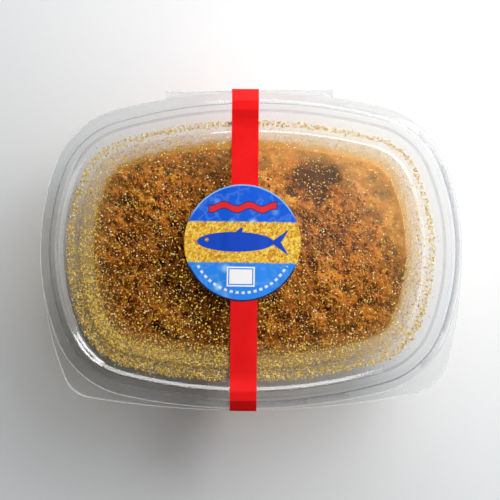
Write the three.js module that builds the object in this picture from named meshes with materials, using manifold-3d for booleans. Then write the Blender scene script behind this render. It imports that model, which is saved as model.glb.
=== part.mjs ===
// A shut tub of grated mullet bottarga, in millimetres, with +Z up and the hinge at the back (+Y).
// Five pieces: the clear tub, its clear lid, the heap of grated roe, the seal tape and the label.
// Every ring of the tub and the lid is a parallel of one outline, the seal ring, so a wall is a
// short profile of (inset, height) pairs carried once round that outline.
import * as THREE from 'three';
import { mergeVertices } from 'three/addons/utils/BufferGeometryUtils.js';
import Module from 'manifold-3d';

const wasm = await Module();
wasm.setup();

// Outlines, seen from above
const SEAL_RING = { halfWidth: 65.75, halfDepth: 47.35, sideRadius: 72, endRadius: 167, cornerRadius: 24 };
const LID_RIM = { halfWidth: 72.3, halfDepth: 54.2, sideRadius: 85, endRadius: 200, cornerRadius: 31.5 };
const LEFT_EAR = { halfWidth: 72.3, halfDepth: 54.8, sideRadius: 121, endRadius: 320, cornerRadius: 10 };
const RIGHT_EAR = { halfWidth: 72.3, halfDepth: 54.8, sideRadius: 146, endRadius: 320, cornerRadius: 15.5 };
const SEGMENTS = { side: 4, corner: 7, end: 5 };
const HEAP_SEGMENTS = { side: 9, corner: 7, end: 16 };

// Heights above the foot, and the gap that lets one piece sit in another
const FLANGE = 36;
const SHEET = 0.5;
const GAP = 0.3;

// Insets from the seal ring: outward is negative
const RIM = -7.2;
const GROOVE = -4.2;

// Hinge at the back: a straight bar, folded along its outer edge
const HINGE_WIDTH = 57.5;
const HINGE_REACH = 55.2;
const HINGE_LIP = 0.6;
const HINGE_STEPS = 12;

// Tub wall and foot
const LEDGE_DROP = 5.4;
const LEDGE_INSET = 5;
const WALL_TOP = { inset: 5.8, height: FLANGE - 6.4 };
const WALL_FOOT = { inset: 14.3, height: 5 };
const WALL_SLOPE = (WALL_FOOT.inset - WALL_TOP.inset) / (WALL_TOP.height - WALL_FOOT.height);
const FOOT_INSET = 19;
const FOOT_WIDTH = 1.6;
const FOOT_RISE = 0.9;

// Lid: its middle is a flat panel that lies a little lower than the flange
const TROUGH_DEPTH = 1.05;
const PANEL_DROP = 0.55;
const PANEL_STEP = { low: 5.7, high: 6.9 };

// Heap of grated roe
const HEAP_EDGE = 16.5;
const HEAP_CROWN = 12;
const HEAP_FULLNESS = 2.4;
const HEAP_RINGS = HEAP_SEGMENTS.side + HEAP_SEGMENTS.corner + HEAP_SEGMENTS.end;
const LUMPS = { count: 520, least: 2.6, most: 7.5, height: 1.1, seed: 1486 };

// Seal tape and label, both laid over the lid
const TAPE = { width: 9.2, thickness: 0.2, gap: 0.15, x: -2.3, lean: -1.1, wallTop: 23, wallEnd: 9 };
const LABEL = { radius: 20, thickness: 0.2, gap: 0.15, x: -2.9, y: 2.7, turn: -1.5, sides: 60 };

/** An outline whose sides, ends and corners are arcs that run into each other smoothly. */
class ArcOutline {
  constructor({ halfWidth, halfDepth, sideRadius, endRadius, cornerRadius }) {
    this.side = { x: halfWidth - sideRadius, y: 0, radius: sideRadius };
    this.end = { x: 0, y: halfDepth - endRadius, radius: endRadius };
    this.corner = this.cornerArc(cornerRadius);
    this.sideAngle = Math.atan2(this.corner.y - this.side.y, this.corner.x - this.side.x);
    this.endAngle = Math.atan2(this.corner.y - this.end.y, this.corner.x - this.end.x);
  }

  /** The corner arc touches both other arcs from inside, so its centre lies on two circles. */
  cornerArc(radius) {
    const toSide = this.side.radius - radius;
    const toEnd = this.end.radius - radius;
    const dx = this.end.x - this.side.x;
    const dy = this.end.y - this.side.y;
    const apart = Math.hypot(dx, dy);
    const along = (toSide ** 2 - toEnd ** 2 + apart ** 2) / (2 * apart);
    const across = Math.sqrt(toSide ** 2 - along ** 2);
    const x = this.side.x + (along * dx - across * dy) / apart;
    const y = this.side.y + (along * dy + across * dx) / apart;
    return { x, y, radius };
  }

  /** The point whose outward normal has this angle, moved inwards by inset. */
  point(angle, inset = 0) {
    const turnX = Math.sign(Math.cos(angle)) || 1;
    const turnY = Math.sign(Math.sin(angle)) || 1;
    const quarter = Math.atan2(Math.abs(Math.sin(angle)), Math.abs(Math.cos(angle)));
    let arc = this.corner;
    if (quarter < this.sideAngle) arc = this.side;
    if (quarter > this.endAngle) arc = this.end;
    const reach = arc.radius - inset;
    const x = arc.x + reach * Math.cos(quarter);
    const y = arc.y + reach * Math.sin(quarter);
    return new THREE.Vector2(turnX * x, turnY * y);
  }

  /** Normal angles once round, close together at the corners. */
  angles({ side, corner, end }) {
    const quarter = [
      ...spaced(0, this.sideAngle, side),
      ...spaced(this.sideAngle, this.endAngle, corner),
      ...spaced(this.endAngle, Math.PI / 2, end),
    ];
    const mirrored = [Math.PI / 2, ...quarter.slice(1).reverse()];
    const half = [...quarter, ...mirrored.map((angle) => Math.PI - angle)];
    return [...half, ...half.map((angle) => angle + Math.PI)];
  }
}

/** Evenly spaced values from start, with end left out. */
function spaced(start, end, count) {
  return Array.from({ length: count }, (_, i) => start + ((end - start) * i) / count);
}

const sealRing = new ArcOutline(SEAL_RING);
const lidRim = new ArcOutline(LID_RIM);
const leftEar = new ArcOutline(LEFT_EAR);
const rightEar = new ArcOutline(RIGHT_EAR);

const lidEdge = (angle) => lidRim.point(angle);

/** The tub's edge follows the lid's at the back and runs out to an ear at each front corner. */
function tubEdge(angle) {
  if (Math.sin(angle) >= 0) return lidRim.point(angle);
  return (Math.cos(angle) < 0 ? leftEar : rightEar).point(angle);
}

/** A point of the band outside the groove lies between the groove and the edge given. */
function spot(angle, [inset, height], edge) {
  const inner = sealRing.point(angle, Math.max(inset, GROOVE));
  if (inset < GROOVE) inner.lerp(edge(angle), (inset - GROOVE) / (RIM - GROOVE));
  return new THREE.Vector3(inner.x, inner.y, height);
}

/** A profile moved sideways by distance, to its right as it runs, with mitred corners. */
function parallel(line, distance) {
  const points = line.map(([x, y]) => new THREE.Vector2(x, y));
  const normals = points.slice(1).map((p, i) => {
    const run = p.clone().sub(points[i]).normalize();
    return new THREE.Vector2(run.y, -run.x);
  });
  return points.map((p, i) => {
    const before = normals[Math.max(i - 1, 0)];
    const after = normals[Math.min(i, normals.length - 1)];
    const mitre = before.clone().add(after).normalize();
    const moved = p.clone().addScaledVector(mitre, distance / mitre.dot(before));
    return [moved.x, moved.y];
  });
}

/** Triangles between two rings of points, where the inner has as many in each quarter or one less. */
function stitch(outer, inner) {
  const far = outer.length / 4;
  const near = Math.floor(inner.length / 4);
  const faces = [];
  for (let quarter = 0; quarter < 4; quarter += 1) {
    const out = (i) => outer[(quarter * far + i) % outer.length];
    const into = (i) => inner[(quarter * near + i) % inner.length];
    for (let i = 0; i < far; i += 1) faces.push(out(i), out(i + 1), into(Math.min(i, near)));
    for (let i = 0; i < near; i += 1) faces.push(into(i), out(i + 1), into(i + 1));
  }
  return faces;
}

/** A closed skin over a row of rings whose first and last are single points. */
function skin(rings) {
  let used = 0;
  const numbered = rings.map((ring) => ring.map(() => used++));
  const faces = numbered.slice(1).flatMap((ring, i) => {
    const before = numbered[i];
    return before.length === 1 ? stitch(ring, before).reverse() : stitch(before, ring);
  });
  const places = rings.flat().flatMap((point) => point.toArray());
  const geometry = new THREE.BufferGeometry();
  geometry.setAttribute('position', new THREE.Float32BufferAttribute(places, 3));
  geometry.setIndex(faces);
  return geometry;
}

/** A thin shell under a top line that runs from the rim to the flat middle. */
function shell(top, edge) {
  const bottom = parallel(top, SHEET);
  const angles = sealRing.angles(SEGMENTS);
  const profile = [...bottom.slice().reverse(), ...top];
  const rings = profile.map((station) => angles.map((angle) => spot(angle, station, edge)));
  const under = new THREE.Vector3(0, 0, bottom.at(-1)[1]);
  const over = new THREE.Vector3(0, 0, top.at(-1)[1]);
  return skin([[under], ...rings, [over]]);
}

/** A closed geometry as a solid that can be joined to another. */
function solid(geometry) {
  const bare = geometry.clone();
  bare.deleteAttribute('normal');
  bare.deleteAttribute('uv');
  const merged = mergeVertices(bare, 1e-5);
  return new wasm.Manifold(new wasm.Mesh({
    numProp: 3,
    vertProperties: new Float32Array(merged.attributes.position.array),
    triVerts: new Uint32Array(merged.index.array),
  }));
}

/** Several closed geometries joined into one. */
function joined(...geometries) {
  const whole = geometries.map(solid).reduce((sum, next) => sum.add(next));
  const { vertProperties, triVerts } = whole.getMesh();
  const geometry = new THREE.BufferGeometry();
  geometry.setAttribute('position', new THREE.BufferAttribute(vertProperties, 3));
  geometry.setIndex(new THREE.BufferAttribute(triVerts, 1));
  return geometry;
}

/** One leaf of the hinge: flat, straight at the back, and fitted to the curved flange in front. */
function hingeLeaf(inset, reach, halfWidth, bottom) {
  const corners = [new THREE.Vector2(halfWidth, reach), new THREE.Vector2(-halfWidth, reach)];
  const shape = new THREE.Shape(corners);
  for (let i = 0; i <= HINGE_STEPS; i += 1) {
    const x = -halfWidth + (2 * halfWidth * i) / HINGE_STEPS;
    const radius = SEAL_RING.endRadius - inset;
    shape.lineTo(x, SEAL_RING.halfDepth - SEAL_RING.endRadius + Math.sqrt(radius ** 2 - x ** 2));
  }
  const geometry = new THREE.ExtrudeGeometry(shape, { depth: SHEET, bevelEnabled: false });
  return geometry.translate(0, 0, bottom);
}

/** The fold along the hinge's outer edge, which closes the space between its two leaves. */
function hingeFold(bottom, top) {
  const geometry = new THREE.BoxGeometry(HINGE_WIDTH, HINGE_LIP, top - bottom);
  return geometry.translate(0, HINGE_REACH - HINGE_LIP / 2, (top + bottom) / 2);
}

/** How far inside the seal ring the tub's wall stands at a height. */
function wallInset(height) {
  return WALL_TOP.inset + WALL_SLOPE * (WALL_TOP.height - height);
}

/** Upper line of the tub, from its rim over the seal ridge and the ledge to the raised floor. */
function tubLine() {
  const floor = SHEET;
  const step = GROOVE + SHEET + GAP;
  return [
    [RIM, FLANGE - 1.2],
    [step - 0.4, FLANGE - 1],
    [step, FLANGE],
    [-1.9, FLANGE],
    [-1.25, FLANGE - 0.5],
    [-0.55, FLANGE - LEDGE_DROP + 0.5],
    [0, FLANGE - LEDGE_DROP],
    [LEDGE_INSET, FLANGE - LEDGE_DROP - 0.2],
    [WALL_TOP.inset, WALL_TOP.height],
    [WALL_FOOT.inset, WALL_FOOT.height],
    [WALL_FOOT.inset + 1.1, WALL_FOOT.height - 2.4],
    [FOOT_INSET - 1.8, floor + 0.5],
    [FOOT_INSET, floor],
    [FOOT_INSET + FOOT_WIDTH, floor],
    [FOOT_INSET + FOOT_WIDTH + FOOT_RISE, floor + FOOT_RISE],
  ];
}

/** Upper line of the lid, from its rim over the seal ridge and down the trough to the panel. */
function lidLine() {
  const nested = GAP + SHEET;
  return [
    [RIM, FLANGE - 0.55],
    [GROOVE - 0.35, FLANGE - 0.15],
    [GROOVE + 0.1, FLANGE + nested],
    [-1.9, FLANGE + nested],
    [-0.9, FLANGE + nested - 0.35],
    [0.3, FLANGE - TROUGH_DEPTH + 0.7],
    [1.2, FLANGE - TROUGH_DEPTH + 0.15],
    [2, FLANGE - TROUGH_DEPTH],
    [PANEL_STEP.low, FLANGE - TROUGH_DEPTH],
    [PANEL_STEP.high, FLANGE - PANEL_DROP],
    [PANEL_STEP.high + 1.5, FLANGE - PANEL_DROP],
  ];
}

function tubGeometry() {
  const leafTop = FLANGE - 1.1;
  const leaf = hingeLeaf(GROOVE - 0.7, HINGE_REACH - HINGE_LIP / 2, HINGE_WIDTH / 2, leafTop - SHEET);
  const fold = hingeFold(leafTop - SHEET, FLANGE - 0.2);
  return joined(shell(tubLine(), tubEdge), leaf, fold);
}

function lidGeometry() {
  const leafTop = FLANGE - 0.2;
  const reach = HINGE_REACH - HINGE_LIP - GAP;
  const leaf = hingeLeaf(GROOVE - 0.5, reach, HINGE_WIDTH / 2 - GAP, leafTop - SHEET);
  return joined(shell(lidLine(), lidEdge), leaf);
}

/** A repeatable stream of numbers from 0 to 1. */
function randomStream(seed) {
  let state = seed;
  return () => {
    state = (state + 0x6d2b79f5) >>> 0;
    let mixed = Math.imul(state ^ (state >>> 15), state | 1);
    mixed ^= mixed + Math.imul(mixed ^ (mixed >>> 7), mixed | 61);
    return ((mixed ^ (mixed >>> 14)) >>> 0) / 2 ** 32;
  };
}

/** Round lumps and hollows of the heap: each has a place, a reach and a height. */
function makeLumps() {
  const random = randomStream(LUMPS.seed);
  const { halfWidth, halfDepth } = SEAL_RING;
  return Array.from({ length: LUMPS.count }, () => ({
    x: (2 * random() - 1) * halfWidth,
    y: (2 * random() - 1) * halfDepth,
    reach: LUMPS.least + (LUMPS.most - LUMPS.least) * random() ** 2,
    height: (2 * random() - 0.9) * LUMPS.height,
  }));
}

/** Height of the heap at a place, with share 0 at its middle and 1 at the tub's wall. */
function heapHeight(x, y, share, lumps) {
  const relief = lumps.reduce((sum, lump) => {
    const near = Math.hypot(x - lump.x, y - lump.y) / lump.reach;
    return near < 1 ? sum + lump.height * (1 - near * near) ** 2 : sum;
  }, 0);
  const crown = HEAP_CROWN * (1 - share ** HEAP_FULLNESS);
  return HEAP_EDGE + crown + relief * Math.min(1, 4 * (1 - share));
}

/** A ring inside the brim, with a share of its size and four points for each step of its rank. */
function heapRing(brim, rank, lumps) {
  const share = rank / HEAP_RINGS;
  return Array.from({ length: 4 * rank }, (_, i) => {
    const place = (i * HEAP_RINGS) / rank;
    const before = brim[Math.floor(place)];
    const after = brim[(Math.floor(place) + 1) % brim.length];
    const point = before.clone().lerp(after, place % 1).multiplyScalar(share);
    return point.setZ(heapHeight(point.x, point.y, share, lumps));
  });
}

/** The heap fills the tub from the floor up, a gap inside the wall, and rises to a crown. */
function heapGeometry() {
  const angles = sealRing.angles(HEAP_SEGMENTS);
  const foot = tubLine().filter(([inset]) => inset >= WALL_FOOT.inset);
  const sides = parallel([[wallInset(HEAP_EDGE), HEAP_EDGE], ...foot], -GAP).reverse();
  const rings = sides.map((station) => angles.map((angle) => spot(angle, station, lidEdge)));
  const brim = rings.at(-1);
  const lumps = makeLumps();
  for (let rank = HEAP_RINGS - 1; rank > 0; rank -= 1) {
    rings.push(heapRing(brim, rank, lumps));
  }
  const under = new THREE.Vector3(0, 0, sides[0][1]);
  const over = new THREE.Vector3(0, 0, heapHeight(0, 0, 0, lumps));
  return skin([[under], ...rings, [over]]);
}

/** One half of the tape's lower face as (distance from the middle, height), down to the wall. */
function tapeHalf(reach, rimHeight) {
  const wallAt = (height) => {
    const inset = wallInset(height) - SHEET * Math.hypot(1, WALL_SLOPE);
    return SEAL_RING.halfDepth - inset + GAP;
  };
  const band = FLANGE + GAP + SHEET + TAPE.gap;
  return [
    [SEAL_RING.halfDepth - PANEL_STEP.high, FLANGE - PANEL_DROP + TAPE.gap],
    [SEAL_RING.halfDepth - 3.2, FLANGE - PANEL_DROP + 0.3],
    [SEAL_RING.halfDepth + 0.9, band],
    [SEAL_RING.halfDepth - GROOVE - 0.2, band],
    [reach, rimHeight],
    [reach + TAPE.gap, rimHeight - 0.4],
    [reach + TAPE.gap, FLANGE - 2.2],
    [wallAt(TAPE.wallTop), TAPE.wallTop],
    [wallAt(TAPE.wallEnd), TAPE.wallEnd],
  ];
}

/** The tape lies over the lid from wall to wall, rises over the seal ridge and folds at the rim. */
function tapeGeometry() {
  const back = tapeHalf(HINGE_REACH, FLANGE + TAPE.gap);
  const front = tapeHalf(LEFT_EAR.halfDepth, FLANGE - 0.3).map(([y, z]) => [-y, z]);
  const lower = [...back.reverse(), ...front];
  const upper = parallel(lower, TAPE.thickness);
  const outline = [...lower, ...upper.reverse()].map(([y, z]) => new THREE.Vector2(y, z));
  const cut = { depth: TAPE.width, bevelEnabled: false };
  const geometry = new THREE.ExtrudeGeometry(new THREE.Shape(outline), cut);
  geometry.translate(0, 0, -TAPE.width / 2);
  const axes = [new THREE.Vector3(0, 1, 0), new THREE.Vector3(0, 0, 1), new THREE.Vector3(1, 0, 0)];
  return geometry.applyMatrix4(new THREE.Matrix4().makeBasis(...axes));
}

function labelGeometry() {
  const { radius, thickness, sides } = LABEL;
  return new THREE.CylinderGeometry(radius, radius, thickness, sides).rotateX(Math.PI / 2);
}

const clearPlastic = new THREE.MeshStandardMaterial({
  color: 0xe6ebee,
  roughness: 0.08,
  metalness: 0,
  transparent: true,
  opacity: 0.3,
});
const gratedRoe = new THREE.MeshStandardMaterial({ color: 0x9a5a1c, roughness: 0.75, metalness: 0 });
const redTape = new THREE.MeshStandardMaterial({ color: 0xe81b24, roughness: 0.35, metalness: 0 });
const printedPaper = new THREE.MeshStandardMaterial({ color: 0x3f86dc, roughness: 0.4, metalness: 0 });

function named(name, geometry, material) {
  const mesh = new THREE.Mesh(geometry, material);
  mesh.name = name;
  return mesh;
}

function sealTape() {
  const mesh = named('seal_tape', tapeGeometry(), redTape);
  mesh.position.x = TAPE.x;
  mesh.rotation.z = THREE.MathUtils.degToRad(TAPE.lean);
  return mesh;
}

function label() {
  const mesh = named('label', labelGeometry(), printedPaper);
  const top = FLANGE - PANEL_DROP + TAPE.gap + TAPE.thickness;
  mesh.position.set(LABEL.x, LABEL.y, top + LABEL.gap + LABEL.thickness / 2);
  mesh.rotation.z = THREE.MathUtils.degToRad(LABEL.turn);
  return mesh;
}

/** All five pieces, moved so that the whole is centred over the origin from front to back. */
function pack() {
  const group = new THREE.Group();
  group.add(named('tub', tubGeometry(), clearPlastic));
  group.add(named('lid', lidGeometry(), clearPlastic));
  group.add(named('bottarga', heapGeometry(), gratedRoe));
  group.add(sealTape());
  group.add(label());
  group.updateMatrixWorld(true);
  const box = new THREE.Box3().setFromObject(group, true);
  group.position.y = -(box.min.y + box.max.y) / 2;
  group.updateMatrixWorld(true);
  return group;
}

export default pack();
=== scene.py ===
"""A shut clear tub of grated mullet bottarga, dressed around its solids.

The pack stands on its foot with the hinge at the back (+Y) and is seen from straight above. Sizes
in the classes are millimetres, as on a drawing; every finished mesh is in metres in the frame of
the solids. Each class makes one part of the pack: the two clear shells, the heap of roe with its
crumbs, the grains under the lid, the seal tape and the label.
"""

from __future__ import annotations

import logging
import math
from collections.abc import Callable, Sequence
from dataclasses import dataclass
from enum import Enum

import bmesh
import bpy
import numpy as np
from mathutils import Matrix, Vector
from mathutils.bvhtree import BVHTree

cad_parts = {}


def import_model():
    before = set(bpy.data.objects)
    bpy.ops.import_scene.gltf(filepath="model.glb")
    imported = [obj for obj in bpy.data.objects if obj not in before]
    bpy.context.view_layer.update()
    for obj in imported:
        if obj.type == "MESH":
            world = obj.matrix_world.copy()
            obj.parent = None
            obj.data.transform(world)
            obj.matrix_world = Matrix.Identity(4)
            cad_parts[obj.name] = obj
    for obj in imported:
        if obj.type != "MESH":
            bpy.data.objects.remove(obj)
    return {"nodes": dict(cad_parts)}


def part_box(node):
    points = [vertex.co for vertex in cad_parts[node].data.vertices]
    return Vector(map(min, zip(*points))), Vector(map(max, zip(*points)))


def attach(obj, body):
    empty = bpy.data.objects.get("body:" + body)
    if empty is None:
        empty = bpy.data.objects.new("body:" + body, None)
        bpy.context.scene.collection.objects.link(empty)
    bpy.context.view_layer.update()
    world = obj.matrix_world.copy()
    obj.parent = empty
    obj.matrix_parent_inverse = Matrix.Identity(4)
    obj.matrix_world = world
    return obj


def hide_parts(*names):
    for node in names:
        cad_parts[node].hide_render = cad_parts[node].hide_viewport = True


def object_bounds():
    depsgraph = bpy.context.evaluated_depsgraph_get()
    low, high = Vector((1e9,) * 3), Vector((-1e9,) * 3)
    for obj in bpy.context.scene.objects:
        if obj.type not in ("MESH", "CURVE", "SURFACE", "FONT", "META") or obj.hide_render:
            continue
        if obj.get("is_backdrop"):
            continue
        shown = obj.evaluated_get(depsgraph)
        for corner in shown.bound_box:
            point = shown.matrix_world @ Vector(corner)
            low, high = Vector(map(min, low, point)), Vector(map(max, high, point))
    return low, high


LOG = logging.getLogger("bottarga_tub")
MM = 0.001

Point = tuple[float, float]
Place = tuple[float, float, float]
Colour = tuple[float, float, float]
Table = tuple[Point, ...]
Socket = bpy.types.NodeSocket


class Bearing(Enum):
    """Where roe and light gather round the pack, in degrees from +X."""

    GRAINS = 236
    HAZE = 52
    SMEAR = 104
    POWDER = 48
    LIGHT = -20


def along(values: np.ndarray, table: Table) -> np.ndarray:
    """Reads a table at many values, with straight lines between its rows.

    Args:
        values: where to read.
        table: rows of a value and what belongs to it.

    Returns:
        One number a value.
    """
    return np.interp(values, *zip(*table))


# Outlines and profiles


@dataclass(frozen=True)
class ArcOutline:
    """An outline whose sides, ends and corners are arcs that run into each other smoothly."""

    half_width: float
    half_depth: float
    side_radius: float
    end_radius: float
    corner_radius: float

    def side_centre(self) -> Point:
        """Centre of the right side's arc."""
        return self.half_width - self.side_radius, 0.0

    def end_centre(self) -> Point:
        """Centre of the back end's arc."""
        return 0.0, self.half_depth - self.end_radius

    def corner_centre(self) -> Point:
        """Centre of the corner arc, which touches the two other arcs from inside."""
        (sx, sy), (ex, ey) = self.side_centre(), self.end_centre()
        to_side = self.side_radius - self.corner_radius
        to_end = self.end_radius - self.corner_radius
        dx, dy = ex - sx, ey - sy
        apart = math.hypot(dx, dy)
        along = (to_side**2 - to_end**2 + apart**2) / (2 * apart)
        across = math.sqrt(to_side**2 - along**2)
        return sx + (along * dx - across * dy) / apart, sy + (along * dy + across * dx) / apart

    def break_angles(self) -> Point:
        """Normal angles at which the side gives way to the corner, and the corner to the end."""
        (cx, cy), (sx, sy), (ex, ey) = self.corner_centre(), self.side_centre(), self.end_centre()
        return math.atan2(cy - sy, cx - sx), math.atan2(cy - ey, cx - ex)

    def point(self, angle: float, inset: float = 0.0) -> Point:
        """The point whose outward normal has an angle.

        Args:
            angle: direction of the outward normal, in radians from +X.
            inset: how far inside the outline the point lies.

        Returns:
            Its x and y.
        """
        flip_x = -1.0 if math.cos(angle) < 0 else 1.0
        flip_y = -1.0 if math.sin(angle) < 0 else 1.0
        quarter = math.atan2(abs(math.sin(angle)), abs(math.cos(angle)))
        side_ends, end_starts = self.break_angles()
        (x, y), radius = self.corner_centre(), self.corner_radius
        if quarter < side_ends:
            (x, y), radius = self.side_centre(), self.side_radius
        elif quarter > end_starts:
            (x, y), radius = self.end_centre(), self.end_radius
        reach = radius - inset
        return flip_x * (x + reach * math.cos(quarter)), flip_y * (y + reach * math.sin(quarter))

    def inset(self, x: np.ndarray, y: np.ndarray) -> np.ndarray:
        """How far inside the outline points lie.

        Args:
            x: their x.
            y: their y.

        Returns:
            One distance a point, below 0 outside the outline.
        """
        x, y = np.abs(x), np.abs(y)
        (cx, cy), (sx, sy), (ex, ey) = self.corner_centre(), self.side_centre(), self.end_centre()
        side_ends, end_starts = self.break_angles()
        by_side = self.side_radius - np.hypot(x - sx, y - sy)
        by_end = self.end_radius - np.hypot(x - ex, y - ey)
        by_corner = self.corner_radius - np.hypot(x - cx, y - cy)
        at_side = np.arctan2(y - sy, x - sx) < side_ends
        at_end = np.arctan2(y - ey, x - ex) > end_starts
        return np.where(at_side & at_end, np.minimum(by_side, by_end),
                        np.where(at_side, by_side, np.where(at_end, by_end, by_corner)))


def rounded(corners: Sequence[Place], steps: int = 6) -> list[Point]:
    """A line through corners, each rounded by an arc of its own radius.

    Args:
        corners: (x, y, radius) of each corner, in order.
        steps: straight pieces in each arc.

    Returns:
        The points of the line.
    """
    line: list[Point] = [corners[0][:2]]
    for before, (x, y, radius), after in zip(corners, corners[1:], corners[2:]):
        here = Vector((x, y))
        back = Vector(before[:2]) - here
        ahead = Vector(after[:2]) - here
        half = back.angle(ahead) / 2
        cut = min(radius / math.tan(half), 0.48 * back.length, 0.48 * ahead.length)
        if cut < 1e-4:
            line.append((x, y))
            continue
        start, end = here + back.normalized() * cut, here + ahead.normalized() * cut
        centre = here + (back.normalized() + ahead.normalized()).normalized() * cut / math.cos(half)
        reach = (start - centre).length
        for step in range(steps + 1):
            way = (start - centre).slerp(end - centre, step / steps).normalized()
            line.append(tuple(centre + way * reach))
    line.append(corners[-1][:2])
    return line


# The plan that all pieces share


@dataclass(frozen=True)
class PackPlan:
    """Outlines, levels and insets of the pack, in millimetres from the foot and the seal ring."""

    shift: float
    seal: ArcOutline = ArcOutline(65.75, 47.35, 72.0, 167.0, 24.0)
    rim: ArcOutline = ArcOutline(72.3, 54.2, 85.0, 200.0, 31.5)
    left_ear: ArcOutline = ArcOutline(72.3, 54.8, 121.0, 320.0, 10.0)
    right_ear: ArcOutline = ArcOutline(72.3, 54.8, 146.0, 320.0, 15.5)
    flange: float = 36.0
    panel: float = -0.55
    sheet: float = 0.45
    rim_inset: float = -7.2
    groove: float = -4.2
    hinge_half: float = 28.75
    hinge_reach: float = 55.2
    wall_top: Point = (5.8, 29.6)
    wall_slope: float = 8.5 / 24.6
    brim: float = 16.5
    tape_x: float = -2.3
    tape_lean: float = math.radians(-1.1)
    tape_width: float = 9.2
    label_centre: Point = (-2.9, 2.7)
    label_radius: float = 20.0
    label_turn: float = math.radians(-1.5)

    @staticmethod
    def from_frame() -> PackPlan:
        """The plan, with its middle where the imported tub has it."""
        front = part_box("tub")[0].y / MM
        return PackPlan(shift=front + PackPlan.left_ear.half_depth)

    def angles(self) -> list[float]:
        """Normal angles once round: close at the corners, with one at each end of the hinge."""
        side_ends, end_starts = self.seal.break_angles()
        hinge = math.acos(self.hinge_half / self.rim.end_radius)
        quarter = [
            *np.linspace(0, side_ends, 12, endpoint=False),
            *np.linspace(side_ends, end_starts, 28, endpoint=False),
            *np.linspace(end_starts, hinge, 12, endpoint=False),
            *np.linspace(hinge, math.pi / 2, 12, endpoint=False),
        ]
        half = quarter + [math.pi - a for a in [math.pi / 2, *reversed(quarter[1:])]]
        return [*half, *(math.pi + a for a in half)]

    def lid_edge(self, angle: float) -> Point:
        """The lid's edge, seen from above."""
        return self.rim.point(angle)

    def tub_edge(self, angle: float) -> Point:
        """The tub's edge, which runs out to an ear at each front corner.

        Args:
            angle: normal angle on the outline.

        Returns:
            The edge's x and y.
        """
        if math.sin(angle) >= 0:
            return self.rim.point(angle)
        ear = self.left_ear if math.cos(angle) < 0 else self.right_ear
        return ear.point(angle)

    def wall_inset(self, height: float) -> float:
        """Inset of the tub's wall at a height."""
        inset, top = self.wall_top
        return inset + self.wall_slope * (top - height)

    def towards(self, x: np.ndarray, y: np.ndarray, bearing: Bearing) -> np.ndarray:
        """How far round the pack places lie towards a bearing.

        Args:
            x: their x on the drawing.
            y: their y on the drawing.
            bearing: the bearing.

        Returns:
            One number a place, from 1 on the bearing to 0 opposite.
        """
        turn = np.arctan2(y / self.seal.half_depth, x / self.seal.half_width)
        return (0.5 + 0.5 * np.cos(turn - math.radians(bearing.value))) ** 1.4

    def spot(self, angle: float, inset: float, height: float, edge: Callable[[float], Point]) -> Vector:
        """A point of a shell, in metres.

        Args:
            angle: normal angle on the outline.
            inset: distance inside the seal ring.
            height: height above the foot.
            edge: the outline that the band outside the groove runs out to.

        Returns:
            The point in the frame of the solids.
        """
        x, y = self.seal.point(angle, max(inset, self.groove))
        if inset < self.groove:
            share = (inset - self.groove) / (self.rim_inset - self.groove)
            edge_x, edge_y = edge(angle)
            x, y = x + (edge_x - x) * share, y + (edge_y - y) * share
        return self.metres(x, y, height)

    def metres(self, x: float, y: float, z: float) -> Vector:
        """A place on the drawing as a point in the frame of the solids."""
        return Vector((x, y + self.shift, z)) * MM

    def drawing(self, points: np.ndarray) -> tuple[np.ndarray, np.ndarray, np.ndarray]:
        """Points of the frame as x, y and z on the drawing, in millimetres."""
        return points[:, 0] / MM, points[:, 1] / MM - self.shift, points[:, 2] / MM


# Working with meshes


def deselect_all() -> None:
    """Leaves object mode with nothing selected."""
    if bpy.context.mode != "OBJECT":
        bpy.ops.object.mode_set(mode="OBJECT")
    bpy.ops.object.select_all(action="DESELECT")


def select_only(piece: bpy.types.Object) -> None:
    """Makes a piece the active object and the only one selected."""
    deselect_all()
    piece.select_set(True)
    bpy.context.view_layer.objects.active = piece


def add_object(name: str, data: bpy.types.ID) -> bpy.types.Object:
    """Puts data into the scene as a new object.

    Args:
        name: the object's name.
        data: its mesh, lamp or camera.

    Returns:
        The object.
    """
    piece = bpy.data.objects.new(name, data)
    bpy.context.scene.collection.objects.link(piece)
    return piece


def add_modifier(piece: bpy.types.Object, kind: str, **settings: object) -> None:
    """Adds a modifier to a piece and applies it.

    Args:
        piece: the piece.
        kind: the modifier's type.
        settings: its properties.
    """
    select_only(piece)
    modifier = piece.modifiers.new(kind.title(), kind)
    for name, value in settings.items():
        setattr(modifier, name, value)
    bpy.ops.object.modifier_apply(modifier=modifier.name)


def shade_by_angle(piece: bpy.types.Object, degrees: float) -> None:
    """Shades a piece smooth, apart from edges sharper than an angle."""
    select_only(piece)
    bpy.ops.object.shade_smooth_by_angle(angle=math.radians(degrees))


def merge_doubles(reach: float) -> None:
    """Merges vertices of the mesh in edit mode that lie within a reach in metres."""
    bpy.ops.mesh.select_all(action="SELECT")
    bpy.ops.mesh.remove_doubles(threshold=reach)


def vertex_array(piece: bpy.types.Object) -> np.ndarray:
    """The piece's vertices as rows of x, y and z, in metres."""
    places = np.empty(3 * len(piece.data.vertices))
    piece.data.vertices.foreach_get("co", places)
    return places.reshape(-1, 3)


def set_vertices(piece: bpy.types.Object, places: np.ndarray) -> None:
    """Moves the piece's vertices to new places, in metres."""
    piece.data.vertices.foreach_set("co", np.asarray(places, dtype=float).ravel())
    piece.data.update()


def paint(piece: bpy.types.Object, name: str, values: np.ndarray) -> None:
    """Stores one number a vertex, for a material to read."""
    attribute = piece.data.attributes.new(name, "FLOAT", "POINT")
    attribute.data.foreach_set("value", np.asarray(values, dtype=np.float32))


def tree_of(piece: bpy.types.Object) -> BVHTree:
    """The piece's surface, ready for ray casts."""
    polygons = [tuple(p.vertices) for p in piece.data.polygons]
    return BVHTree.FromPolygons([v.co for v in piece.data.vertices], polygons)


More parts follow.
